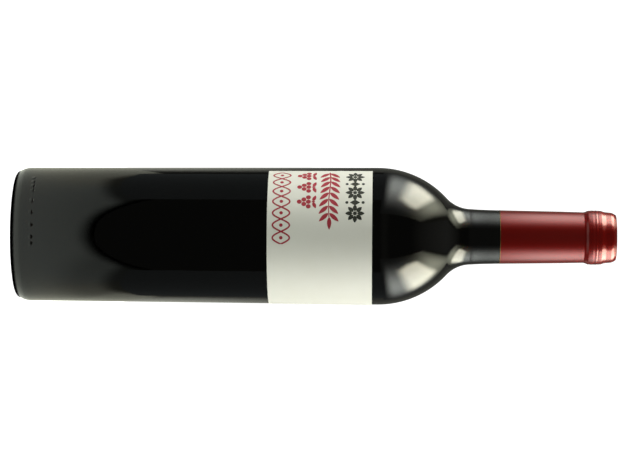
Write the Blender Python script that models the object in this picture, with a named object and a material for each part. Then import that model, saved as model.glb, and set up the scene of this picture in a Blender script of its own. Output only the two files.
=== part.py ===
"""Tapered wine bottle, full and closed, standing on Z = 0 with its label towards -Y.

Sizes are in millimetres. MM turns them into metres when a mesh is made.
"""

import math

import bmesh
import bpy
from mathutils import Matrix, Vector

MM = 0.001
TURN = 56

# Outside of the glass, from the table up.
HEEL_Z = 8.0
HEEL_R = 36.5
HEEL_ARC = 13.0
BEARING_OUTER_R = 33.6
SHOULDER_Z = 198.5
SHOULDER_R = 37.76
SHOULDER_ARC = 51.5
NECK_Z = 250.0
NECK_R = 15.2

# Inside of the glass.
WALL = 3.5
FLOOR_Z = 7.0
BORE_Z = 252.0
BORE_R = 10.2
MOUTH_R = 9.3
LIP_Z = 329.6

# Punt under the base: a cone that leans in by PUNT_LEAN degrees, with a round tip.
PUNT_MOUTH_R = 27.5
PUNT_LEAN = 31.4
PUNT_ARC = 15.3
PUNT_WALL = 4.6

# Wine, and the clear space between it and the glass.
WINE_Z = 268.5
WINE_GAP = 0.15

# Capsule over the neck.
CAPSULE_Z = 266.0
CAPSULE_R = 14.65
CAPSULE_TOP_Z = 330.0
CAPSULE_TAPER = 0.0156
SLEEVE_GAP = 0.05

# Label: degrees run from -Y, the side that faces the viewer, towards +X.
LABEL_Z = (138.8, 195.7)
LABEL_START = -70.0
LABEL_SWEEP = 215.0
LABEL_GAP = 0.1
LABEL_THICK = 0.15

# Mould dots above the heel, by their place in an even row.
DOT_SLOTS = (0, 1, 2, 3, 5, 7, 9, 11, 12)
DOT_START = -56.1
DOT_PITCH = 5.33
DOT_Z = 12.0
DOT_R = 0.62
DOT_HEIGHT = 0.32


def clear_scene():
    for obj in list(bpy.data.objects):
        bpy.data.objects.remove(obj)


def material(name, colour, roughness, metallic):
    made = bpy.data.materials.new(name)
    made.use_nodes = True
    shader = made.node_tree.nodes["Principled BSDF"]
    shader.inputs["Base Color"].default_value = (*colour, 1.0)
    shader.inputs["Roughness"].default_value = roughness
    shader.inputs["Metallic"].default_value = metallic
    return made


def arc(centre, radius, start, end, steps):
    """Points on a circle, by degrees from +R towards +Z."""
    points = []
    for i in range(steps + 1):
        angle = math.radians(start + (end - start) * i / steps)
        points.append((centre[0] + radius * math.cos(angle), centre[1] + radius * math.sin(angle)))
    return points


def rounded(corners, steps=2):
    """An open outline whose (r, z, radius) corners are each replaced by a tangent arc."""
    points = []
    for i, (r, z, radius) in enumerate(corners):
        if not radius:
            points.append((r, z))
            continue
        before = math.atan2(corners[i - 1][1] - z, corners[i - 1][0] - r)
        after = math.atan2(corners[i + 1][1] - z, corners[i + 1][0] - r)
        half = ((after - before + math.pi) % math.tau - math.pi) / 2
        reach = radius / math.sin(abs(half))
        middle = before + half
        centre = (r + reach * math.cos(middle), z + reach * math.sin(middle))
        swing = math.degrees(math.pi / 2 - abs(half)) * math.copysign(1.0, half)
        facing = math.degrees(middle) + 180.0
        points += arc(centre, radius, facing + swing, facing - swing, steps)
    return points


def shoulder(r, z, radius, neck_r, neck_z, steps):
    """Shoulder from the body up to the neck: a convex arc, then the concave arc that meets both."""
    rise = neck_z - z
    reach = neck_r - r + radius
    lower = (rise * rise + reach * reach - radius * radius) / (2 * (radius - reach))
    turn = math.degrees(math.asin(rise / (radius + lower)))
    swell = arc((r - radius, z), radius, 0.0, turn, steps[0])
    sweep = arc((neck_r + lower, neck_z), lower, 180.0 + turn, 180.0, steps[1])
    return swell + sweep[1:]


def body_r(z):
    """Outer radius of the body, which widens evenly from the heel to the shoulder."""
    share = (z - HEEL_Z) / (SHOULDER_Z - HEEL_Z)
    return HEEL_R + (SHOULDER_R - HEEL_R) * share


def finish(gap):
    """The glass under the capsule, lower edge to lip, moved out by gap."""
    corners = (
        (14.30, CAPSULE_Z),
        (13.60, 312.4),
        (14.42, 314.3),
        (14.58, 318.0),
        (14.42, 321.2),
        (13.66, 324.3),
        (13.42, 327.2),
        (12.60, 328.8),
    )
    return [(r + gap, z + gap * (z > CAPSULE_Z)) for r, z in corners]


def outside():
    """Outer face of the glass, from the heel up to the capsule's lower edge."""
    foot = arc((HEEL_R - HEEL_ARC, HEEL_Z), HEEL_ARC, -34.5, 0.0, 4)
    waist = [(body_r(DOT_Z + 4.0), DOT_Z + 4.0)]
    slope = shoulder(SHOULDER_R, SHOULDER_Z, SHOULDER_ARC, NECK_R, NECK_Z, (9, 6))
    neck = [(14.89, 255.4), (14.64, 262.0), (14.61, CAPSULE_Z)]
    return [(BEARING_OUTER_R, 0.0)] + foot + waist + slope + neck


def punt_tip(thickness, steps):
    """Round tip from the axis out to where the cone starts, moved up by the glass thickness."""
    lean = math.radians(PUNT_LEAN)
    centre_z = (PUNT_MOUTH_R * math.cos(lean) - PUNT_ARC) / math.sin(lean)
    tip = arc((0.0, centre_z), PUNT_ARC + thickness, 90.0, PUNT_LEAN, steps)
    return [(0.0, tip[0][1])] + tip[1:]


def hollow():
    """Inner face of the glass, from the middle of the floor up to the bore."""
    tip = punt_tip(PUNT_WALL, 4)
    cone_r = tip[-1][0] + (tip[-1][1] - FLOOR_Z) * math.tan(math.radians(PUNT_LEAN))
    groove = rounded(
        (
            (*tip[-1], 0),
            (cone_r, FLOOR_Z, 2.0),
            (HEEL_R - WALL, FLOOR_Z, 2.4),
            (HEEL_R - WALL, FLOOR_Z + 6.0, 0),
        )
    )
    wall_r = SHOULDER_R - WALL
    slope = shoulder(wall_r, SHOULDER_Z, SHOULDER_ARC - WALL, BORE_R, BORE_Z, (6, 4))
    return tip + groove[1:] + slope


def inset(points, gap):
    """The outline moved in by gap, square to its own direction at each point."""
    moved = []
    for i, (r, z) in enumerate(points):
        ahead = points[min(i + 1, len(points) - 1)]
        behind = points[max(i - 1, 0)]
        run, rise = ahead[0] - behind[0], ahead[1] - behind[1]
        length = math.hypot(run, rise)
        inner_r = r - gap * rise / length if r else 0.0
        moved.append((inner_r, z + gap * run / length))
    return moved


def link(name, mesh, look):
    obj = bpy.data.objects.new(name, mesh)
    bpy.context.scene.collection.objects.link(obj)
    mesh.materials.append(look)
    return obj


def apply_modifiers(obj):
    """Keep the evaluated mesh, smooth but for the edges that really are sharp."""
    graph = bpy.context.evaluated_depsgraph_get()
    mesh = bpy.data.meshes.new_from_object(obj.evaluated_get(graph))
    obj.modifiers.clear()
    obj.data = mesh
    mesh.shade_smooth()
    mesh.set_sharp_from_angle(angle=math.radians(35.0))


def lathe(name, outline, look):
    """Turn an outline that starts and ends on the axis, with its outer side running down."""
    mesh = bpy.data.meshes.new(name)
    points = [(r * MM, 0.0, z * MM) for r, z in outline]
    edges = [(i, i + 1) for i in range(len(points) - 1)]
    mesh.from_pydata(points, edges, [])
    obj = link(name, mesh, look)
    screw = obj.modifiers.new("turn", "SCREW")
    screw.axis = "Z"
    screw.angle = math.tau
    screw.steps = TURN
    screw.render_steps = TURN
    screw.use_merge_vertices = True
    screw.merge_threshold = 0.00001
    screw.use_smooth_shade = True
    return obj


def round_axis(degrees):
    """Rotation about Z that carries -Y this far towards +X."""
    return Matrix.Rotation(math.radians(degrees - 90.0), 4, "Z")


def mould_dots(look):
    """Flattened domes in one mesh, half sunk in the glass."""
    build = bmesh.new()
    size = Matrix.Diagonal((DOT_HEIGHT * MM, DOT_R * MM, DOT_R * MM, 1.0))
    place = Matrix.Translation((body_r(DOT_Z) * MM, 0.0, DOT_Z * MM))
    for slot in DOT_SLOTS:
        turn = round_axis(DOT_START + slot * DOT_PITCH)
        bmesh.ops.create_uvsphere(
            build, u_segments=8, v_segments=6, radius=1.0, matrix=turn @ place @ size
        )
    mesh = bpy.data.meshes.new("mould_dots")
    build.to_mesh(mesh)
    build.free()
    return link("mould_dots", mesh, look)


def make_bottle(look):
    tip = punt_tip(0.0, 4)
    ring = ((BEARING_OUTER_R, 0.0, 0), (PUNT_MOUTH_R, 0.0, 3.0), (*tip[-1], 0))
    punt = rounded(ring, steps=3)[1:-1] + tip[::-1]
    lip = [(MOUTH_R + 2.2, LIP_Z), (MOUTH_R + 0.5, LIP_Z), (MOUTH_R, LIP_Z - 1.5)]
    outline = hollow() + lip[::-1] + finish(0.0)[::-1] + outside()[::-1] + punt
    bottle = lathe("glass_bottle", outline, look)
    dots = mould_dots(look)
    join = bottle.modifiers.new("dots", "BOOLEAN")
    join.operation = "UNION"
    join.solver = "EXACT"
    join.object = dots
    apply_modifiers(bottle)
    bpy.data.objects.remove(dots)


def make_wine(look):
    inside = inset(hollow(), WINE_GAP)
    neck_r = inside[-1][0] - (WINE_Z - BORE_Z) * (BORE_R - MOUTH_R) / (LIP_Z - BORE_Z)
    surface = [(neck_r, WINE_Z), (0.0, WINE_Z)]
    apply_modifiers(lathe("wine", (inside + surface)[::-1], look))


def make_capsule(look):
    top_r = CAPSULE_R - CAPSULE_TAPER * (312.3 - CAPSULE_Z)
    outer = rounded(
        (
            (0.0, CAPSULE_TOP_Z, 0),
            (12.5, CAPSULE_TOP_Z, 0.5),
            (13.66, 327.8, 1.6),
            (14.04, 323.9, 0.6),
            (14.80, 321.6, 1.2),
            (14.94, 318.0, 0),
            (14.80, 313.8, 1.0),
            (top_r, 312.3, 0.5),
            (CAPSULE_R, CAPSULE_Z, 0),
        ),
        steps=1,
    )
    inner = finish(SLEEVE_GAP) + [(0.0, CAPSULE_TOP_Z - 0.3)]
    inner.insert(-1, (MOUTH_R + 2.2, CAPSULE_TOP_Z - 0.3))
    apply_modifiers(lathe("capsule", outer + inner, look))


def make_label(look):
    """A curved sheet: its cross-section spun about the axis, which leaves both ends closed."""
    low, high = LABEL_Z
    section = [
        (body_r(low) + LABEL_GAP, low),
        (body_r(low) + LABEL_GAP + LABEL_THICK, low),
        (body_r(high) + LABEL_GAP + LABEL_THICK, high),
        (body_r(high) + LABEL_GAP, high),
    ]
    turn = round_axis(LABEL_START)
    build = bmesh.new()
    corners = [build.verts.new(turn @ Vector((r * MM, 0.0, z * MM))) for r, z in section]
    end = build.faces.new(corners)
    bmesh.ops.spin(
        build,
        geom=[end] + list(end.edges) + corners,
        axis=(0.0, 0.0, 1.0),
        cent=(0.0, 0.0, 0.0),
        angle=math.radians(LABEL_SWEEP),
        steps=60,
    )
    bmesh.ops.recalc_face_normals(build, faces=build.faces)
    mesh = bpy.data.meshes.new("label")
    build.to_mesh(mesh)
    build.free()
    mesh.shade_smooth()
    mesh.set_sharp_from_angle(angle=math.radians(35.0))
    link("label", mesh, look)


def main():
    clear_scene()
    glass = material("dark_glass", (0.018, 0.022, 0.010), 0.06, 0.0)
    wine = material("red_wine", (0.060, 0.003, 0.006), 0.05, 0.0)
    foil = material("capsule_foil", (0.190, 0.016, 0.010), 0.30, 0.6)
    paper = material("label_paper", (0.820, 0.810, 0.740), 0.75, 0.0)
    make_bottle(glass)
    make_wine(wine)
    make_capsule(foil)
    make_label(paper)


main()
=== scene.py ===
"""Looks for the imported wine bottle: smooth glass, wine, foil capsule, printed label and a white studio.

Outlines are (radius, height) pairs in millimetres. MM turns them into metres as a mesh is made.
Degrees round the bottle run from -Y, the side that faces the viewer, towards +X.
"""

import math

import bmesh
import bpy
from mathutils import Matrix, Vector


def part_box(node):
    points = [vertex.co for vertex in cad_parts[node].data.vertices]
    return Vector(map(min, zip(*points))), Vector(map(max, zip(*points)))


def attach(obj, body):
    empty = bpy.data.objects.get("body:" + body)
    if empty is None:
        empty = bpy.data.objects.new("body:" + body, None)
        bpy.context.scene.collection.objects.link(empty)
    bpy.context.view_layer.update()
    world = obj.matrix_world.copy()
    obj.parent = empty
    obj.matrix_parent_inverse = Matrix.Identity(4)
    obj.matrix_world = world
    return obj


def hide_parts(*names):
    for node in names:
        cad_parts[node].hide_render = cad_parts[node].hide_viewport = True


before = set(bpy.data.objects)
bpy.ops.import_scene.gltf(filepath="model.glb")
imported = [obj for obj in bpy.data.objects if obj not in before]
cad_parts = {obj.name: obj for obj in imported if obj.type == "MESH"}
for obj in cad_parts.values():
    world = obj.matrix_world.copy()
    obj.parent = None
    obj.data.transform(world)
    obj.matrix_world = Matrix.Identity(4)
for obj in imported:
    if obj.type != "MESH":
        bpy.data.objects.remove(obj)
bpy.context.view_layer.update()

bl_info = {
    "name": "Wine bottle dresser",
    "version": (1, 0, 0),
    "blender": (4, 5, 0),
    "location": "View3D > Sidebar > Bottle",
    "description": "Builds the glass, wine, capsule, label and studio of a tapered wine bottle",
    "category": "Object",
}

MM = 0.001
WINE_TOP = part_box("wine")[1][2]
LABEL_LOW, LABEL_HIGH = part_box("label")
CAPSULE_LOW, CAPSULE_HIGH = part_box("capsule")
ROUND = 144
SMOOTH_BELOW = math.radians(38.0)

# Outside of the glass.
HEEL_Z = 8.0
HEEL_R = 36.8
HEEL_ARC = 13.0
BEARING_OUTER_R = 33.6
SHOULDER_Z = 199.2
SHOULDER_R = 37.76
SHOULDER_ARC = 51.5
NECK_Z = 250.6
NECK_R = 15.3
NECK_TAPER = [(15.19, 252.2), (15.02, 255.4), (14.91, 258.8), (14.82, 262.2), (14.73, 265.9)]

# Inside of the glass.
FLOOR_Z = 7.0
BORE_Z = 252.0
BORE_R = 10.2
MOUTH_R = 9.3
LIP_Z = 329.6

# Punt: a cone that leans in by PUNT_LEAN degrees, with a round tip.
PUNT_MOUTH_R = 27.5
PUNT_LEAN = 31.4
PUNT_ARC = 15.3
PUNT_WALL = 4.6

# Mould dots above the heel, by their place in an even row.
DOT_SLOTS = (0, 1, 2, 3, 5, 7, 9, 11, 12)
DOT_START = -56.1
DOT_PITCH = 5.33
DOT_Z = 11.5
DOT_SMOOTH_BELOW = math.radians(28.0)

# A dot is the cap of a sunk lens, whose radius and depth are these shares of the dot's width and height.
LENS_RADIUS = 0.6
LENS_DEPTH = 2.24

LABEL_START = -70.0
LABEL_LIFT = 0.06
LABEL_THICK = 0.12

# Rows of ornament: where each starts and ends along the label, and the height of its middle.
PRINT_START = 2.8
ROSETTE_ROW = (38.9, 186.8)
SPRIG_ROW = (42.8, 173.0)
GRAPE_ROW = (31.0, 160.5)
BRAID_ROW = (50.7, 147.0)
INK_LIFT = 0.185
INK_THICK = 0.03

# Metres from the bottle's axis to the diffuser on each side.
SIDE_WALL_X = 0.62


class BottleSizes(bpy.types.PropertyGroup):
    """Sizes that a user would change."""

    wall: bpy.props.FloatProperty(
        name="Wall", description="Thickness of the glass in the body",
        default=0.0035, min=0.002, max=0.006, unit="LENGTH",
    )
    wine_top: bpy.props.FloatProperty(
        name="Wine level", description="Height of the wine above the table",
        default=WINE_TOP, unit="LENGTH",
    )
    wine_bite: bpy.props.FloatProperty(
        name="Wine bite", description="How far the wine reaches into the glass, so that no air gap shows",
        default=0.0002, unit="LENGTH",
    )
    capsule_edge: bpy.props.FloatProperty(
        name="Capsule edge", description="Height of the capsule's lower edge",
        default=CAPSULE_LOW[2], unit="LENGTH",
    )
    label_low: bpy.props.FloatProperty(
        name="Label foot", description="Height of the label's lower edge",
        default=LABEL_LOW[2] + 0.0006, unit="LENGTH",
    )
    label_high: bpy.props.FloatProperty(
        name="Label head", description="Height of the label's upper edge",
        default=LABEL_HIGH[2] + 0.00045, unit="LENGTH",
    )
    label_sweep: bpy.props.FloatProperty(
        name="Label sweep", description="How far the label reaches round the bottle",
        default=math.radians(215.0), unit="ROTATION",
    )
    dot_width: bpy.props.FloatProperty(
        name="Mould dot", description="Width of one moulded dot above the heel",
        default=0.0025, unit="LENGTH",
    )
    dot_height: bpy.props.FloatProperty(
        name="Mould dot height", description="How far one moulded dot stands proud of the glass",
        default=0.0003, unit="LENGTH",
    )


class BottleColours(bpy.types.PropertyGroup):
    """Colours that a user would change, in linear light."""

    glass: bpy.props.FloatVectorProperty(
        name="Glass", description="What the glass lets through",
        subtype="COLOR", size=3, min=0.0, max=1.0, default=(0.58, 0.60, 0.40),
    )
    wine: bpy.props.FloatVectorProperty(
        name="Wine", description="What the wine lets through",
        subtype="COLOR", size=3, min=0.0, max=1.0, default=(0.83, 0.0, 0.03),
    )
    foil: bpy.props.FloatVectorProperty(
        name="Foil", description="Lacquered foil of the capsule",
        subtype="COLOR", size=3, min=0.0, max=1.0, default=(0.198, 0.004, 0.0012),
    )
    cut_edge: bpy.props.FloatVectorProperty(
        name="Cut edge", description="Bare metal where the foil is cut",
        subtype="COLOR", size=3, min=0.0, max=1.0, default=(0.22, 0.13, 0.05),
    )
    paper: bpy.props.FloatVectorProperty(
        name="Paper", description="Uncoated label paper",
        subtype="COLOR", size=3, min=0.0, max=1.0, default=(0.84, 0.835, 0.745),
    )
    dark_ink: bpy.props.FloatVectorProperty(
        name="Dark ink", description="Ink of the upper ornament",
        subtype="COLOR", size=3, min=0.0, max=1.0, default=(0.012, 0.013, 0.008),
    )
    red_ink: bpy.props.FloatVectorProperty(
        name="Red ink", description="Ink of the lower ornaments",
        subtype="COLOR", size=3, min=0.0, max=1.0, default=(0.30, 0.014, 0.028),
    )


def select_only(obj):
    """Select and activate this object alone."""
    bpy.ops.object.select_all(action="DESELECT")
    obj.select_set(True)
    bpy.context.view_layer.objects.active = obj


def arc(centre, radius, start, end, steps):
    """Points on a circle, by degrees from +R towards +Z."""
    points = []
    for i in range(steps + 1):
        angle = math.radians(start + (end - start) * i / steps)
        points.append((centre[0] + radius * math.cos(angle), centre[1] + radius * math.sin(angle)))
    return points


def rounded(corners, steps=6):
    """An open outline whose (r, z, radius) corners are each replaced by a tangent arc."""
    points = []
    for i, (r, z, radius) in enumerate(corners):
        if not radius:
            points.append((r, z))
            continue
        before = math.atan2(corners[i - 1][1] - z, corners[i - 1][0] - r)
        after = math.atan2(corners[i + 1][1] - z, corners[i + 1][0] - r)
        half = ((after - before + math.pi) % math.tau - math.pi) / 2
        reach = radius / math.sin(abs(half))
        middle = before + half
        centre = (r + reach * math.cos(middle), z + reach * math.sin(middle))
        swing = math.degrees(math.pi / 2 - abs(half)) * math.copysign(1.0, half)
        facing = math.degrees(middle) + 180.0
        points += arc(centre, radius, facing + swing, facing - swing, steps)
    return points


def shoulder(r, z, radius, neck_r, neck_z, steps):
    """Shoulder from the body up to the neck: a convex arc, then the concave arc that meets both."""
    rise = neck_z - z
    reach = neck_r - r + radius
    lower = (rise * rise + reach * reach - radius * radius) / (2 * (radius - reach))
    turn = math.degrees(math.asin(rise / (radius + lower)))
    swell = arc((r - radius, z), radius, 0.0, turn, steps)
    sweep = arc((neck_r + lower, neck_z), lower, 180.0 + turn, 180.0, steps)
    return swell + sweep[1:]


def body_r(z):
    """Outer radius of the body, which widens evenly from the heel to the shoulder."""
    share = (z - HEEL_Z) / (SHOULDER_Z - HEEL_Z)
    return HEEL_R + (SHOULDER_R - HEEL_R) * share


def inset(points, gap):
    """The outline moved in by gap, square to its own direction at each point."""
    moved = []
    for i, (r, z) in enumerate(points):
        ahead = points[min(i + 1, len(points) - 1)]
        behind = points[max(i - 1, 0)]
        run, rise = ahead[0] - behind[0], ahead[1] - behind[1]
        length = math.hypot(run, rise)
        inner_r = r - gap * rise / length if r else 0.0
        moved.append((inner_r, z + gap * run / length))
    return moved


def punt_tip(thickness, steps):
    """Round tip from the axis out to where the cone starts, moved up by the glass thickness."""
    lean = math.radians(PUNT_LEAN)
    centre_z = (PUNT_MOUTH_R * math.cos(lean) - PUNT_ARC) / math.sin(lean)
    tip = arc((0.0, centre_z), PUNT_ARC + thickness, 90.0, PUNT_LEAN, steps)
    return [(0.0, tip[0][1])] + tip[1:]


def hollow(wall):
    """Inner face of the glass, from the middle of the floor up to the bore."""
    tip = punt_tip(PUNT_WALL, 14)
    cone_r = tip[-1][0] + (tip[-1][1] - FLOOR_Z) * math.tan(math.radians(PUNT_LEAN))
    groove = rounded(
        (
            (*tip[-1], 0),
            (cone_r, FLOOR_Z, 2.0),
            (HEEL_R - wall, FLOOR_Z, 2.4),
            (HEEL_R - wall, FLOOR_Z + 6.0, 0),
        )
    )
    slope = shoulder(SHOULDER_R - wall, SHOULDER_Z, SHOULDER_ARC - wall, BORE_R, BORE_Z, 26)
    return tip + groove[1:] + slope


def outside():
    """Outer face of the glass, from the bearing ring up to the capsule's lower edge."""
    foot = rounded(((30.0, 0.0, 0), (BEARING_OUTER_R, 0.0, 0.7), (34.21, 0.64, 0)))[1:-1]
    heel = arc((HEEL_R - HEEL_ARC, HEEL_Z), HEEL_ARC, -34.5, 0.0, 16)
    dotted = [(body_r(z), z) for z in (DOT_Z - 2.0, DOT_Z + 2.0)]
    slope = shoulder(SHOULDER_R, SHOULDER_Z, SHOULDER_ARC, NECK_R, NECK_Z, 32)
    return foot + heel + dotted + slope + NECK_TAPER


def turned(name, outline, steps=ROUND):
    """Draw an outline point by point in edit mode, then spin it into a closed round piece."""
    bpy.ops.object.select_all(action="DESELECT")
    bpy.ops.mesh.primitive_plane_add(size=MM)
    obj = bpy.context.object
    obj.name = obj.data.name = name
    bpy.ops.object.mode_set(mode="EDIT")
    bpy.ops.mesh.select_mode(type="VERT")
    bpy.ops.mesh.select_all(action="SELECT")
    bpy.ops.mesh.merge(type="CENTER")
    here = outline[0]
    bpy.ops.transform.translate(value=(here[0] * MM, 0.0, here[1] * MM))
    for there in outline[1:]:
        step = ((there[0] - here[0]) * MM, 0.0, (there[1] - here[1]) * MM)
        bpy.ops.mesh.extrude_region_move(TRANSFORM_OT_translate={"value": step})
        here = there
    bpy.ops.mesh.select_all(action="SELECT")
    bpy.ops.mesh.spin(steps=steps, angle=math.tau, center=(0.0, 0.0, 0.0), axis=(0.0, 0.0, 1.0))
    bpy.ops.mesh.select_all(action="SELECT")
    bpy.ops.mesh.remove_doubles(threshold=0.000002)
    bpy.ops.mesh.normals_make_consistent(inside=False)
    bpy.ops.object.mode_set(mode="OBJECT")
    bpy.ops.object.shade_smooth_by_angle(angle=SMOOTH_BELOW)
    return obj


def finished(obj, material, slot, *nodes):
    """Give a piece its finish, tie it to the body and hide the nodes it stands for."""
    obj.data.materials.clear()
    obj.data.materials.append(material)
    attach(obj, "root")
    if nodes:
        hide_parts(*nodes)
    return obj


def shader_of(name):
    """A new material, its node tree and its Principled shader."""
    material = bpy.data.materials.new(name)
    material.use_nodes = True
    tree = material.node_tree
    return material, tree, tree.nodes["Principled BSDF"]


def noise_on(tree, scale, detail=3.0, stretch=(1.0, 1.0, 1.0)):
    """Noise on object coordinates. The scale counts features per metre."""
    place = tree.nodes.new("ShaderNodeTexCoord")
    squeeze = tree.nodes.new("ShaderNodeMapping")
    squeeze.inputs["Scale"].default_value = stretch
    noise = tree.nodes.new("ShaderNodeTexNoise")
    noise.inputs["Scale"].default_value = scale
    noise.inputs["Detail"].default_value = detail
    tree.links.new(place.outputs["Object"], squeeze.inputs["Vector"])
    tree.links.new(squeeze.outputs["Vector"], noise.inputs["Vector"])
    return noise.outputs["Fac"]


def ranged(tree, value, low, high):
    """The value spread from low to high."""
    spread = tree.nodes.new("ShaderNodeMapRange")
    spread.inputs["From Min"].default_value = 0.3
    spread.inputs["From Max"].default_value = 0.7
    spread.inputs["To Min"].default_value = low
    spread.inputs["To Max"].default_value = high
    tree.links.new(value, spread.inputs["Value"])
    return spread.outputs["Result"]


def mottled(tree, value, first, second):
    """Colour that wanders between two."""
    blend = tree.nodes.new("ShaderNodeMix")
    blend.data_type = "RGBA"
    blend.inputs["A"].default_value = (*first, 1.0)
    blend.inputs["B"].default_value = (*second, 1.0)
    tree.links.new(value, blend.inputs["Factor"])
    return blend.outputs["Result"]


def raised(tree, shader, *layers):
    """Chain bump layers, each a (height, strength, distance) triple, into the shader's normal."""
    normal = None
    for height, strength, distance in layers:
        bump = tree.nodes.new("ShaderNodeBump")
        bump.inputs["Strength"].default_value = strength
        bump.inputs["Distance"].default_value = distance
        tree.links.new(height, bump.inputs["Height"])
        if normal:
            tree.links.new(normal, bump.inputs["Normal"])
        normal = bump.outputs["Normal"]
    tree.links.new(normal, shader.inputs["Normal"])


def see_through(name, light, dark, passes, density, ior):
    """Clear stuff whose colour comes from its skin, which wanders from light to dark, and from its depth."""
    material, tree, shader = shader_of(name)
    drift = noise_on(tree, 40.0, 2.0)
    tree.links.new(mottled(tree, drift, light, dark), shader.inputs["Base Color"])
    shader.inputs["Transmission Weight"].default_value = 1.0
    shader.inputs["IOR"].default_value = ior
    depth = tree.nodes.new("ShaderNodeVolumeAbsorption")
    depth.inputs["Color"].default_value = (*passes, 1.0)
    depth.inputs["Density"].default_value = density
    output = tree.nodes["Material Output"]
    tree.links.new(depth.outputs["Volume"], output.inputs["Volume"])
    return material, tree, shader


def bottle_glass_finish(colour):
    """Dark moulded glass: slow waves from the mould, and a faint film of dust in its gloss."""
    light, dark = (0.13, 0.14, 0.08), (0.09, 0.10, 0.05)
    material, tree, shader = see_through("dark_bottle_glass", light, dark, colour, 300.0, 1.52)
    film = noise_on(tree, 500.0, 2.0)
    tree.links.new(ranged(tree, film, 0.015, 0.04), shader.inputs["Roughness"])
    waves = noise_on(tree, 34.0, 1.5, (1.0, 1.0, 0.45))
    raised(tree, shader, (waves, 0.35, 0.0004))
    return material


def wine_finish(colour):
    """Deep red wine, almost opaque through a whole bottle."""
    light, dark = (0.62, 0.08, 0.10), (0.50, 0.05, 0.07)
    material, tree, shader = see_through("red_wine_depth", light, dark, colour, 1500.0, 1.35)
    ripple = noise_on(tree, 60.0, 1.0)
    tree.links.new(ranged(tree, ripple, 0.0, 0.02), shader.inputs["Roughness"])
    return material


def foil_finish(colour):
    """Lacquered foil, drawn down the neck: long faint streaks, rolling marks and small dents."""
    material, tree, shader = shader_of("lacquered_foil")
    streaks = noise_on(tree, 420.0, 3.0, (1.0, 1.0, 0.04))
    deep = tuple(0.78 * c for c in colour)
    tree.links.new(mottled(tree, streaks, colour, deep), shader.inputs["Base Color"])
    shader.inputs["Metallic"].default_value = 0.4
    shader.inputs["Specular IOR Level"].default_value = 0.12
    shader.inputs["Coat Weight"].default_value = 1.0
    shader.inputs["Coat Roughness"].default_value = 0.10
    shader.inputs["Coat IOR"].default_value = 1.54
    shader.inputs["Coat Tint"].default_value = (1.0, 0.5, 0.45, 1.0)
    tree.links.new(ranged(tree, streaks, 0.28, 0.38), shader.inputs["Roughness"])
    rolling = noise_on(tree, 500.0, 2.0, (0.03, 0.03, 1.6))
    dents = noise_on(tree, 150.0, 2.0)
    raised(tree, shader, (streaks, 0.12, 0.0002), (rolling, 0.10, 0.0002), (dents, 0.12, 0.0003))
    return material


def cut_edge_finish(colour):
    """Thin bare edge where the capsule was trimmed."""
    material, tree, shader = shader_of("trimmed_foil_edge")
    nicks = noise_on(tree, 1500.0, 2.0)
    deep = tuple(0.6 * c for c in colour)
    tree.links.new(mottled(tree, nicks, colour, deep), shader.inputs["Base Color"])
    shader.inputs["Metallic"].default_value = 0.9
    tree.links.new(ranged(tree, nicks, 0.3, 0.5), shader.inputs["Roughness"])
    return material


def paper_finish(colour):
    """Uncoated paper: fine fibres, a soft tooth and a barely uneven tone."""
    material, tree, shader = shader_of("label_stock")
    cloud = noise_on(tree, 120.0, 3.0)
    warm = (0.97 * colour[0], 0.965 * colour[1], 0.94 * colour[2])
    tree.links.new(mottled(tree, cloud, colour, warm), shader.inputs["Base Color"])
    tooth = noise_on(tree, 5200.0, 3.0)
    fibres = noise_on(tree, 1400.0, 4.0, (1.0, 1.0, 0.35))
    tree.links.new(ranged(tree, fibres, 0.62, 0.8), shader.inputs["Roughness"])
    raised(tree, shader, (fibres, 0.25, 0.0001), (tooth, 0.2, 0.00005))
    return material


def ink_finish(name, colour):
    """Printing ink, a little glossier than the paper and uneven where the paper's tooth shows."""
    material, tree, shader = shader_of(name)
    cover = noise_on(tree, 2600.0, 3.0)
    thin = tuple(min(1.0, 1.5 * c + 0.01) for c in colour)
    tree.links.new(mottled(tree, cover, colour, thin), shader.inputs["Base Color"])
    tree.links.new(ranged(tree, cover, 0.45, 0.62), shader.inputs["Roughness"])
    return material


def on_body(x, y, lift):
    """The place on the body of a point of the flat label: x along it, y above the table."""
    radius = body_r(y / MM) * MM + lift
    angle = math.radians(LABEL_START) + x / (SHOULDER_R * MM)
    return Vector((radius * math.sin(angle), -radius * math.cos(angle), y))


def wrap_on_body(obj):
    """Bend a piece that was drawn flat, in X and Y, round the bottle. Its Z is its lift off the glass."""
    select_only(obj)
    bpy.ops.object.transform_apply(location=True, rotation=True, scale=True)
    for vertex in obj.data.vertices:
        vertex.co = on_body(*vertex.co)
    obj.data.update()


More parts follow.
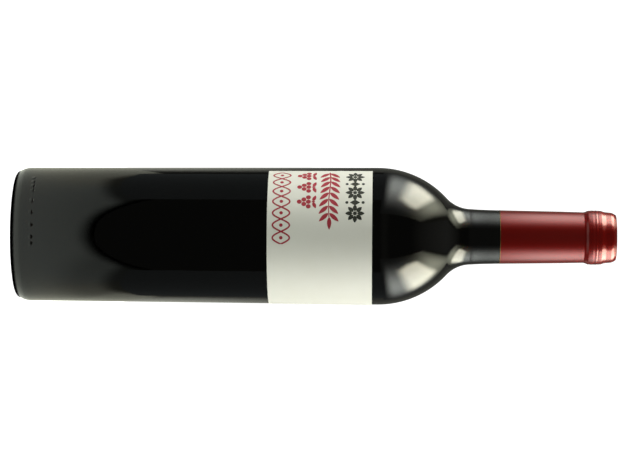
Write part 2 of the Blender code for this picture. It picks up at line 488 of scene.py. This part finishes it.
class BOTTLE_OT_glass(bpy.types.Operator):
    """Turn the glass bottle and raise its row of mould dots"""

    bl_idname = "bottle.glass"
    bl_label = "Glass"

    def execute(self, context):
        sizes = context.scene.bottle_sizes
        edge = sizes.capsule_edge / MM
        lip = rounded(
            ((MOUTH_R, LIP_Z - 8.0, 0), (MOUTH_R, LIP_Z, 0.8), (12.6, LIP_Z, 1.6), (13.42, 327.2, 0)), 4
        )
        ring = [(13.66, 324.3), (14.42, 321.2), (14.58, 318.0), (14.42, 314.3), (13.60, 312.4), (14.42, edge)]
        tip = punt_tip(0.0, 14)
        foot = rounded(((BEARING_OUTER_R - 1.0, 0.0, 0), (PUNT_MOUTH_R, 0.0, 3.0), (*tip[-1], 0)), 8)
        outline = hollow(sizes.wall / MM) + lip + ring + outside()[::-1] + foot[1:-1] + tip[::-1]
        bottle = turned("bottle_glass", outline)
        self.add_dots(bottle, sizes.dot_width, sizes.dot_height)
        finish = bottle_glass_finish(context.scene.bottle_colours.glass)
        finished(bottle, finish, "dark_glass", "glass_bottle")
        return {"FINISHED"}

    def add_dots(self, bottle, width, height):
        """Model one sunk lens whose cap stands proud, copy it along the row and fuse the row."""
        radius = LENS_RADIUS * width
        depth = LENS_DEPTH * height
        bpy.ops.object.select_all(action="DESELECT")
        bpy.ops.mesh.primitive_uv_sphere_add(segments=48, ring_count=32, radius=radius)
        dome = bpy.context.object
        dome.scale = (depth / radius, 1.0, 1.0)
        dome.location = (body_r(DOT_Z) * MM + height - depth, 0.0, DOT_Z * MM)
        bpy.ops.object.transform_apply(location=True, rotation=True, scale=True)
        domes = []
        for slot in DOT_SLOTS:
            copy = bpy.data.objects.new("mould_dot", dome.data.copy())
            bpy.context.scene.collection.objects.link(copy)
            turn = math.radians(DOT_START + slot * DOT_PITCH - 90.0)
            copy.data.transform(Matrix.Rotation(turn, 4, "Z"))
            domes.append(copy)
        bpy.data.objects.remove(dome)
        for copy in domes:
            copy.select_set(True)
        bpy.context.view_layer.objects.active = domes[0]
        bpy.ops.object.join()
        row = bpy.context.object
        select_only(bottle)
        bpy.ops.object.modifier_add(type="BOOLEAN")
        fuse = bottle.modifiers[-1]
        fuse.operation = "UNION"
        fuse.solver = "EXACT"
        fuse.object = row
        bpy.ops.object.modifier_apply(modifier=fuse.name)
        bpy.data.objects.remove(row)
        bpy.ops.object.shade_smooth_by_angle(angle=DOT_SMOOTH_BELOW)


class BOTTLE_OT_wine(bpy.types.Operator):
    """Fill the bottle with wine that reaches just into the glass"""

    bl_idname = "bottle.wine"
    bl_label = "Wine"

    def execute(self, context):
        sizes = context.scene.bottle_sizes
        level = sizes.wine_top / MM
        bite = sizes.wine_bite / MM
        inside = inset(hollow(sizes.wall / MM), -bite)
        neck_r = inside[-1][0] - (level - BORE_Z) * (BORE_R - MOUTH_R) / (LIP_Z - BORE_Z)
        meniscus = [(neck_r, level), (neck_r - 0.5, level - 0.35), (neck_r - 1.6, level - 0.6)]
        meniscus.append((0.0, level - 0.6))
        wine = turned("bottle_wine", inside + meniscus)
        finished(wine, wine_finish(context.scene.bottle_colours.wine), "red_wine", "wine")
        return {"FINISHED"}


class BOTTLE_OT_capsule(bpy.types.Operator):
    """Turn the foil capsule with its rolled ring, and the bare edge at its foot"""

    bl_idname = "bottle.capsule"
    bl_label = "Capsule"

    def execute(self, context):
        edge = context.scene.bottle_sizes.capsule_edge / MM
        top = CAPSULE_HIGH[2] / MM
        outer = rounded(
            (
                (0.0, top, 0),
                (12.45, top, 0.45),
                (13.45, 328.35, 1.3),
                (13.72, 327.35, 0.25),
                (13.80, 326.9, 0.2),
                (14.04, 324.1, 0.35),
                (14.20, 323.35, 0.25),
                (14.74, 321.8, 0.6),
                (14.86, 320.2, 0.3),
                (14.82, 319.6, 0.3),
                (14.94, 318.9, 0.3),
                (14.86, 317.9, 0.3),
                (14.94, 316.9, 0.4),
                (14.78, 314.5, 0.6),
                (14.20, 313.2, 0.5),
                (13.93, 312.2, 0.6),
                (14.22, 300.0, 20.0),
                (14.76, edge + 0.4, 0),
                (14.76, edge, 0),
            ),
            4,
        )
        inner = [(14.52, edge), (13.68, 312.4), (14.50, 314.2), (14.64, 318.0), (14.50, 321.2)]
        inner += [(13.78, 324.3), (13.52, 327.0), (12.4, top - 0.28), (0.0, top - 0.28)]
        capsule = turned("neck_capsule", outer + inner)
        colours = context.scene.bottle_colours
        finished(capsule, foil_finish(colours.foil), "capsule_foil", "capsule")
        band = [(14.75, edge + 0.02), (14.80, edge + 0.02), (14.81, edge + 0.2), (14.80, edge + 0.38)]
        band.append((14.75, edge + 0.38))
        hem = turned("capsule_trimmed_edge", band + band[:1])
        finished(hem, cut_edge_finish(colours.cut_edge), "capsule_foil")
        return {"FINISHED"}


class BOTTLE_OT_label(bpy.types.Operator):
    """Cut the paper label flat and wrap it round the body"""

    bl_idname = "bottle.label"
    bl_label = "Label"

    def execute(self, context):
        sizes = context.scene.bottle_sizes
        length = sizes.label_sweep * SHOULDER_R * MM
        height = sizes.label_high - sizes.label_low
        bpy.ops.object.select_all(action="DESELECT")
        bpy.ops.mesh.primitive_grid_add(x_subdivisions=180, y_subdivisions=10, size=1.0)
        label = bpy.context.object
        label.name = label.data.name = "paper_label"
        label.scale = (length, height, 1.0)
        label.location = (length / 2, sizes.label_low + height / 2, LABEL_LIFT * MM)
        bpy.ops.object.mode_set(mode="EDIT")
        bpy.ops.mesh.select_all(action="SELECT")
        bpy.ops.mesh.extrude_region_move(TRANSFORM_OT_translate={"value": (0.0, 0.0, LABEL_THICK * MM)})
        bpy.ops.mesh.select_all(action="SELECT")
        bpy.ops.mesh.normals_make_consistent(inside=False)
        bpy.ops.object.mode_set(mode="OBJECT")
        wrap_on_body(label)
        bpy.ops.object.shade_smooth_by_angle(angle=SMOOTH_BELOW)
        finished(label, paper_finish(context.scene.bottle_colours.paper), "label_paper", "label")
        return {"FINISHED"}


class BOTTLE_OT_print(bpy.types.Operator):
    """Print four rows of plain ornament on the upper half of the label"""

    bl_idname = "bottle.print"
    bl_label = "Label print"

    def execute(self, context):
        colours = context.scene.bottle_colours
        self.laid = []
        self.rosettes()
        self.set_down("label_print_dark", ink_finish("dark_printing_ink", colours.dark_ink))
        self.sprig()
        self.grapes()
        self.braid()
        self.set_down("label_print_red", ink_finish("red_printing_ink", colours.red_ink))
        return {"FINISHED"}

    def strip(self, length, columns, middle, width):
        """A flat strip along X from the origin. Its middle line and width follow the share run, 0 to 1."""
        bpy.ops.object.select_all(action="DESELECT")
        bpy.ops.mesh.primitive_grid_add(x_subdivisions=columns, y_subdivisions=1, size=1.0)
        shape = bpy.context.object
        bpy.ops.object.mode_set(mode="EDIT")
        bpy.ops.mesh.select_mode(type="VERT")
        mesh = bmesh.from_edit_mesh(shape.data)
        for column in range(columns + 1):
            share = column / columns
            for vertex in mesh.verts:
                vertex.select = abs(vertex.co.x + 0.5 - share) < 0.3 / columns
            mesh.select_flush_mode()
            tall = (1.0, width(share) * MM, 1.0)
            bpy.ops.transform.resize(value=tall, center_override=(share - 0.5, 0.0, 0.0))
            bpy.ops.transform.translate(value=(0.0, middle(share) * MM, 0.0))
        bpy.ops.mesh.select_all(action="SELECT")
        bpy.ops.transform.translate(value=(0.5, 0.0, 0.0))
        bpy.ops.transform.resize(value=(length * MM, 1.0, 1.0), center_override=(0.0, 0.0, 0.0))
        bpy.ops.mesh.remove_doubles(threshold=0.000001)
        self.thicken()
        return shape

    def leaf(self, length, width):
        """A pointed leaf, widest a little before its middle."""
        return self.strip(length, 10, lambda t: 0.0, lambda t: width * math.sin(math.pi * t ** 0.85) ** 0.8)

    def dot(self, radius):
        """A round dot."""
        bpy.ops.object.select_all(action="DESELECT")
        bpy.ops.mesh.primitive_circle_add(vertices=20, radius=radius * MM, fill_type="NGON")
        shape = bpy.context.object
        bpy.ops.object.mode_set(mode="EDIT")
        self.thicken()
        return shape

    def thicken(self):
        """Give the flat shape in edit mode the ink's thickness and leave edit mode."""
        bpy.ops.mesh.select_all(action="SELECT")
        bpy.ops.mesh.extrude_region_move(TRANSFORM_OT_translate={"value": (0.0, 0.0, INK_THICK * MM)})
        bpy.ops.mesh.select_all(action="SELECT")
        bpy.ops.mesh.normals_make_consistent(inside=False)
        bpy.ops.object.mode_set(mode="OBJECT")

    def lay(self, shape, x, y, turn=0.0):
        """Lay one copy of a shape on the flat label, turned by degrees."""
        copy = bpy.data.objects.new("ink", shape.data.copy())
        bpy.context.scene.collection.objects.link(copy)
        place = Matrix.Translation((x * MM, y * MM, INK_LIFT * MM))
        copy.data.transform(place @ Matrix.Rotation(math.radians(turn), 4, "Z"))
        self.laid.append(copy)

    def set_down(self, name, ink):
        """Join what was laid, wrap it round the body and give it its ink."""
        bpy.ops.object.select_all(action="DESELECT")
        for copy in self.laid:
            copy.select_set(True)
        bpy.context.view_layer.objects.active = self.laid[0]
        bpy.ops.object.join()
        row = bpy.context.object
        row.name = row.data.name = name
        wrap_on_body(row)
        finished(row, ink, "label_paper")
        self.laid = []

    def rosettes(self):
        """Three eight-petalled rosettes with a lozenge between two dots after each but the last."""
        end, height = ROSETTE_ROW
        petal = self.leaf(3.95, 2.25)
        heart = self.dot(1.1)
        lozenge = self.strip(3.6, 2, lambda t: 0.0, lambda t: 5.6 * (1.0 - abs(2.0 * t - 1.0)))
        speck = self.dot(0.85)
        pitch = (end - PRINT_START - 10.4) / 2
        for i in range(3):
            x = PRINT_START + 5.2 + i * pitch
            self.lay(heart, x, height)
            for turn in range(0, 360, 45):
                away = math.radians(turn)
                self.lay(petal, x + 1.25 * math.cos(away), height + 1.25 * math.sin(away), turn)
            if i < 2:
                self.lay(lozenge, x + pitch / 2 - 1.8, height)
                self.lay(speck, x + pitch / 2, height + 4.4)
                self.lay(speck, x + pitch / 2, height - 4.4)
        self.clear_away(petal, heart, lozenge, speck)

    def sprig(self):
        """A slightly waving stem with leaves in pairs and one at its tip."""
        end, height = SPRIG_ROW
        leaf = self.leaf(6.9, 2.3)
        length = end - PRINT_START - 6.0
        stem = self.strip(length + 1.0, 24, lambda t: 0.45 * math.sin(math.tau * t), lambda t: 0.75 - 0.3 * t)
        self.lay(stem, PRINT_START, height)
        pairs = 8
        for i in range(pairs):
            share = (i + 0.25) / pairs
            x = PRINT_START + share * length
            y = height + 0.45 * math.sin(math.tau * share)
            self.lay(leaf, x, y + 0.3, 47.0)
            self.lay(leaf, x, y - 0.3, -47.0)
        self.lay(leaf, end - 6.9, height, 0.0)
        self.clear_away(leaf, stem)

    def grapes(self):
        """Three bunches of six grapes, each with a short stalk and two leaves."""
        end, height = GRAPE_ROW
        grape = self.dot(1.32)
        leaf = self.leaf(4.0, 1.9)
        stalk = self.strip(1.8, 2, lambda t: 0.0, lambda t: 0.7)
        pitch = (end - PRINT_START - 8.2) / 2
        for i in range(3):
            x = PRINT_START + 4.1 + i * pitch
            for row, count in enumerate((3, 2, 1)):
                for place in range(count):
                    self.lay(grape, x + 2.8 * (place - (count - 1) / 2), height + 1.1 - 2.45 * row)
            self.lay(stalk, x, height + 2.9, 90.0)
            self.lay(leaf, x + 0.3, height + 3.6, 22.0)
            self.lay(leaf, x - 0.3, height + 3.6, 158.0)
        self.clear_away(grape, leaf, stalk)

    def braid(self):
        """Two thin strands that cross again and again, ends a hair apart, with a dot in each eye."""
        end, height = BRAID_ROW
        length = end - PRINT_START
        eyes = 7
        rise = 4.6
        turn = math.pi * eyes
        for side in (1.0, -1.0):
            strand = self.strip(
                length,
                98,
                lambda t: side * rise * math.sin(turn * t),
                lambda t: 0.85 * math.hypot(1.0, rise * turn / length * math.cos(turn * t)),
            )
            self.lay(strand, PRINT_START + 0.03 * (1.0 - side), height)
            self.clear_away(strand)
        dot = self.dot(0.95)
        for i in range(eyes):
            self.lay(dot, PRINT_START + (i + 0.5) * length / eyes, height)
        self.clear_away(dot)

    def clear_away(self, *shapes):
        """Remove the shapes that only served as patterns."""
        for shape in shapes:
            bpy.data.objects.remove(shape)


class BOTTLE_OT_stage(bpy.types.Operator):
    """Lay the white floor, set the lights and place the camera"""

    bl_idname = "bottle.stage"
    bl_label = "Studio"

    def execute(self, context):
        self.make_floor()
        self.make_table()
        self.make_lights()
        self.make_world(context.scene)
        self.make_camera(context.scene)
        context.scene.view_settings.view_transform = "Standard"
        return {"FINISHED"}

    def make_floor(self):
        """A pale floor that only the camera sees."""
        bpy.ops.object.select_all(action="DESELECT")
        bpy.ops.mesh.primitive_plane_add(size=12.0)
        floor = bpy.context.object
        floor.name = "pale_floor"
        material, _, shader = shader_of("pale_floor")
        shader.inputs["Base Color"].default_value = (0.85, 0.85, 0.85, 1.0)
        shader.inputs["Roughness"].default_value = 0.9
        shader.inputs["Emission Color"].default_value = (1.0, 1.0, 1.0, 1.0)
        shader.inputs["Emission Strength"].default_value = 1.0
        floor.data.materials.append(material)
        floor.visible_glossy = False
        floor.visible_diffuse = False
        floor.visible_transmission = False

    def make_table(self):
        """The lit table top that the glass mirrors: warmer behind, dim towards its sides, with a painted
        brighter ring round the bottle's foot and a painted contact shadow right under it.
        """
        corners = [(-0.80, -0.44, 0.0), (0.80, -0.44, 0.0), (0.80, 0.62, 0.0), (-0.80, 0.62, 0.0)]
        tree, light = self.panel("lit_table_top", corners, (1.0, 1.0, 1.0), 1.0)
        across, deep, _, away = self.places(tree)
        warmth = self.fade(tree, deep, -0.12, 0.10)
        tree.links.new(mottled(tree, warmth, (0.91, 1.0, 0.92), (0.98, 1.0, 0.82)), light.inputs["Color"])
        off = self.reckon(tree, "ABSOLUTE", across)
        off = self.plus(tree, off, self.ramp(tree, deep, (0.15, 0.0), (0.62, -0.235)))
        near = self.ramp(tree, away, (0.04, 0.75), (0.5, 0.56))
        glow = self.times(tree, self.fade(tree, off, 0.58, 0.42), near)
        glow = self.times(tree, glow, self.ramp(tree, across, (-0.5, 0.85), (0.5, 1.14)))
        glow = self.times(tree, glow, self.ramp(tree, deep, (-0.3, 0.87), (0.1, 1.0)))
        corner = self.fade(tree, across, 0.12, 0.36, -0.42)
        corner = self.times(tree, corner, self.fade(tree, deep, 0.35, 0.20))
        glow = self.times(tree, glow, self.plus(tree, corner, 1.0))
        # Painted light: a brighter ring on the table just round the bottle's foot.
        glow = self.plus(tree, glow, self.fade(tree, away, 0.048, 0.040, 0.30))
        # Painted contact shadow: no glow within 35.5 mm of the axis, under the bottle's foot. The glow also
        # fades out at the table's front edge.
        ends = self.times(tree, self.fade(tree, deep, -0.43, -0.31), self.fade(tree, away, 0.0355, 0.0376))
        lit = self.times(tree, ends, self.plus(tree, glow, 0.12))
        tree.links.new(lit, light.inputs["Strength"])

    def glow(self, name, colour, strength):
        """Plain light of one strength. Returns the material, its tree and its light node."""
        material = bpy.data.materials.new(name)
        material.use_nodes = True
        tree = material.node_tree
        tree.nodes.clear()
        light = tree.nodes.new("ShaderNodeEmission")
        light.inputs["Color"].default_value = (*colour, 1.0)
        light.inputs["Strength"].default_value = strength
        output = tree.nodes.new("ShaderNodeOutputMaterial")
        output.name = "Material Output"
        tree.links.new(light.outputs["Emission"], output.inputs["Surface"])
        return material, tree, light

    def panel(self, name, corners, colour, strength, diffuse=True):
        """A glowing sheet that only the pieces see, not the camera."""
        mesh = bpy.data.meshes.new(name)
        mesh.from_pydata(corners, [], [(0, 1, 2, 3)])
        sheet = bpy.data.objects.new(name, mesh)
        bpy.context.scene.collection.objects.link(sheet)
        material, tree, light = self.glow(name, colour, strength)
        mesh.materials.append(material)
        sheet.visible_camera = False
        sheet.visible_shadow = False
        sheet.visible_diffuse = diffuse
        return tree, light

    def places(self, tree):
        """X, Y and Z on a stage sheet, and the distance from the middle of the bottle's foot."""
        place = tree.nodes.new("ShaderNodeTexCoord")
        parts = tree.nodes.new("ShaderNodeSeparateXYZ")
        away = tree.nodes.new("ShaderNodeVectorMath")
        away.operation = "LENGTH"
        tree.links.new(place.outputs["Object"], parts.inputs["Vector"])
        tree.links.new(place.outputs["Object"], away.inputs[0])
        return parts.outputs["X"], parts.outputs["Y"], parts.outputs["Z"], away.outputs["Value"]

    def fade(self, tree, value, start, end, high=1.0):
        """0 at start and high from end on, with a soft run between."""
        run = tree.nodes.new("ShaderNodeMapRange")
        run.interpolation_type = "SMOOTHSTEP"
        run.inputs["From Min"].default_value = start
        run.inputs["From Max"].default_value = end
        run.inputs["To Max"].default_value = high
        tree.links.new(value, run.inputs["Value"])
        return run.outputs["Result"]

    def ramp(self, tree, value, first, last):
        """A straight run between two (place, strength) pairs."""
        run = tree.nodes.new("ShaderNodeMapRange")
        run.inputs["From Min"].default_value = first[0]
        run.inputs["From Max"].default_value = last[0]
        run.inputs["To Min"].default_value = first[1]
        run.inputs["To Max"].default_value = last[1]
        tree.links.new(value, run.inputs["Value"])
        return run.outputs["Result"]

    def reckon(self, tree, operation, *values):
        """One sum in the node tree. Each value is a socket or a number."""
        node = tree.nodes.new("ShaderNodeMath")
        node.operation = operation
        for socket, value in zip(node.inputs, values):
            if isinstance(value, float):
                socket.default_value = value
            else:
                tree.links.new(value, socket)
        return node.outputs["Value"]

    def times(self, tree, first, second):
        """The product of two values."""
        return self.reckon(tree, "MULTIPLY", first, second)

    def plus(self, tree, first, second):
        """The sum of two values."""
        return self.reckon(tree, "ADD", first, second)

    def make_lights(self):
        """A diffuser on each side, a dim wall under it, and the far wall of the studio."""
        left = ("left", -1.0, 1.0, 0.0, 5.9)
        right = ("right", 1.0, 1.12, 0.07, 6.35)
        for name, side, gain, lift, energy in (left, right):
            reach = SIDE_WALL_X * side
            self.diffuser(name, reach, gain, lift)
            self.fill_light(name, side, energy)
            skirt = [(reach, -0.335, -0.3), (reach, 0.45, -0.3), (reach, 0.45, 0.26), (reach, -0.335, 0.26)]
            self.panel("dim_wall_" + name, skirt, (0.9, 1.0, 1.0), 0.12, diffuse=False)
        self.far_wall()

    def diffuser(self, name, reach, gain, lift):
        """A tall cloth that glows round its middle, with the brighter square of a lamp behind it."""
        sheet = [(reach, -0.8, 0.24), (reach, 1.0, 0.24), (reach, 1.0, 1.8), (reach, -0.8, 1.8)]
        tree, veil = self.panel("diffuser_" + name, sheet, (1.0, 1.0, 1.0), 1.0, diffuse=False)
        _, deep, up, _ = self.places(tree)
        warmth = self.fade(tree, up, 0.5, 1.0)
        tree.links.new(mottled(tree, warmth, (0.945, 1.0, 0.94), (0.98, 1.0, 0.78)), veil.inputs["Color"])
        off = self.plus(tree, deep, -0.02)
        bell = self.times(tree, self.times(tree, off, off), self.ramp(tree, up, (0.44, -10.5), (1.4, -1.2)))
        bell = self.reckon(tree, "EXPONENT", bell)
        foot = self.fade(tree, up, 0.25, 0.35, 3.6 * gain)
        tall = self.times(tree, foot, self.fade(tree, up, 1.58 + 2.4 * lift, 0.93 + 1.3 * lift))
        tree.links.new(self.plus(tree, self.times(tree, bell, tall), 0.1), veil.inputs["Strength"])
        front = self.plus(tree, deep, self.ramp(tree, up, (0.5, lift - 0.09), (0.68, lift)))
        square = self.times(tree, self.fade(tree, front, -0.43, -0.25), self.fade(tree, deep, 0.54, 0.21))
        rise = self.fade(tree, up, 0.40, 0.56, 8.4 * gain)
        rise = self.times(tree, rise, self.fade(tree, up, 0.92 + lift, 0.74 + lift))
        lamp = tree.nodes.new("ShaderNodeEmission")
        lamp.inputs["Color"].default_value = (1.03, 1.0, 0.80, 1.0)
        tree.links.new(self.times(tree, square, rise), lamp.inputs["Strength"])
        both = tree.nodes.new("ShaderNodeAddShader")
        tree.links.new(veil.outputs["Emission"], both.inputs[0])
        tree.links.new(lamp.outputs["Emission"], both.inputs[1])
        tree.links.new(both.outputs["Shader"], tree.nodes["Material Output"].inputs["Surface"])

    def far_wall(self):
        """A dim wall behind the bottle, lighter near the table and towards the right."""
        sheet = [(-0.66, 0.64, -0.05), (0.90, 0.64, -0.05), (0.90, 0.64, 1.6), (-0.66, 0.64, 1.6)]
        tree, light = self.panel("far_wall", sheet, (0.98, 1.0, 0.86), 1.0, diffuse=False)
        across, _, up, _ = self.places(tree)
        wide = self.times(tree, self.fade(tree, across, -0.62, -0.42), self.fade(tree, across, 0.85, 0.50))
        wide = self.times(tree, wide, self.ramp(tree, across, (-0.4, 0.85), (0.4, 1.5)))
        glow = self.times(tree, wide, self.fade(tree, up, 0.20, 0.0, 0.42))
        tree.links.new(self.plus(tree, glow, 0.16), light.inputs["Strength"])

    def fill_light(self, name, side, energy):
        """The diffuser's light on paper and foil, set apart from what the glass mirrors."""
        bpy.ops.object.select_all(action="DESELECT")
        turn = (0.0, math.radians(90.0 * side), 0.0)
        bpy.ops.object.light_add(type="AREA", location=(SIDE_WALL_X * side, -0.155, 0.62), rotation=turn)
        fill = bpy.context.object
        fill.name = "fill_" + name
        fill.data.shape = "RECTANGLE"
        fill.data.size = 0.7
        fill.data.size_y = 0.25
        fill.data.energy = energy
        fill.visible_camera = False
        fill.visible_glossy = False
        fill.visible_transmission = False

    def make_world(self, scene):
        """White to the camera, and near dark to what the bottle mirrors."""
        world = bpy.data.worlds.new("studio_air")
        scene.world = world
        world.use_nodes = True
        tree = world.node_tree
        tree.nodes.clear()
        dim = tree.nodes.new("ShaderNodeBackground")
        dim.inputs["Color"].default_value = (0.97, 1.0, 0.9, 1.0)
        toward = tree.nodes.new("ShaderNodeTexCoord")
        parts = tree.nodes.new("ShaderNodeSeparateXYZ")
        tree.links.new(toward.outputs["Generated"], parts.inputs["Vector"])
        up = parts.outputs["Z"]
        strip = self.times(tree, self.fade(tree, up, 0.04, 0.09, 0.03), self.fade(tree, up, 0.26, 0.16))
        ceiling = self.ramp(tree, up, (0.66, 0.042), (1.0, 0.16))
        tree.links.new(self.plus(tree, strip, ceiling), dim.inputs["Strength"])
        white = tree.nodes.new("ShaderNodeBackground")
        white.inputs["Strength"].default_value = 1.2
        white.inputs["Color"].default_value = (1.0, 1.0, 1.0, 1.0)
        ray = tree.nodes.new("ShaderNodeLightPath")
        mix = tree.nodes.new("ShaderNodeMixShader")
        output = tree.nodes.new("ShaderNodeOutputWorld")
        tree.links.new(ray.outputs["Is Camera Ray"], mix.inputs["Fac"])
        tree.links.new(dim.outputs["Background"], mix.inputs[1])
        tree.links.new(white.outputs["Background"], mix.inputs[2])
        tree.links.new(mix.outputs["Shader"], output.inputs["Surface"])

    def make_camera(self, scene):
        """A long lens level with the shoulder, rolled so that the bottle lies with its base at the left."""
        bpy.ops.object.select_all(action="DESELECT")
        place = Vector((0.0, -1.506, 0.2032))
        aim = Vector((0.0001, 0.0, 0.1642)) - place
        bpy.ops.object.camera_add(location=place)
        camera = bpy.context.object
        camera.name = "studio_camera"
        camera.data.lens = 156.15
        camera.data.sensor_width = 36.0
        back = -aim.normalized()
        right = Vector((0.0, 0.0, 1.0))
        right = (right - back * right.dot(back)).normalized()
        upright = back.cross(right)
        turn = Matrix((right, upright, back)).transposed()
        tilt = Matrix.Rotation(math.radians(0.375), 3, "Z")
        camera.rotation_euler = (turn @ tilt).to_euler()
        scene.camera = camera


class BOTTLE_PT_panel(bpy.types.Panel):
    """The bottle's sizes, colours and pieces in the sidebar"""

    bl_idname = "BOTTLE_PT_panel"
    bl_label = "Wine bottle"
    bl_space_type = "VIEW_3D"
    bl_region_type = "UI"
    bl_category = "Bottle"

    def draw(self, context):
        layout = self.layout
        for group in (context.scene.bottle_sizes, context.scene.bottle_colours):
            box = layout.box()
            for name in group.__annotations__:
                box.prop(group, name)
        for operator in PIECES:
            layout.operator(operator.bl_idname)


PIECES = (
    BOTTLE_OT_glass,
    BOTTLE_OT_wine,
    BOTTLE_OT_capsule,
    BOTTLE_OT_label,
    BOTTLE_OT_print,
    BOTTLE_OT_stage,
)
CLASSES = (BottleSizes, BottleColours, *PIECES, BOTTLE_PT_panel)


def register():
    """Register the add-on's classes and its settings."""
    for cls in CLASSES:
        bpy.utils.register_class(cls)
    bpy.types.Scene.bottle_sizes = bpy.props.PointerProperty(type=BottleSizes)
    bpy.types.Scene.bottle_colours = bpy.props.PointerProperty(type=BottleColours)


def unregister():
    """Take the settings and classes away again."""
    del bpy.types.Scene.bottle_colours
    del bpy.types.Scene.bottle_sizes
    for cls in reversed(CLASSES):
        bpy.utils.unregister_class(cls)


def main():
    """Build every piece and the studio, and keep the two boxes."""
    register()
    bpy.ops.bottle.glass()
    bpy.ops.bottle.wine()
    bpy.ops.bottle.capsule()
    bpy.ops.bottle.label()
    bpy.ops.bottle.print()
    bpy.ops.bottle.stage()


if __name__ == "__main__":
    main()
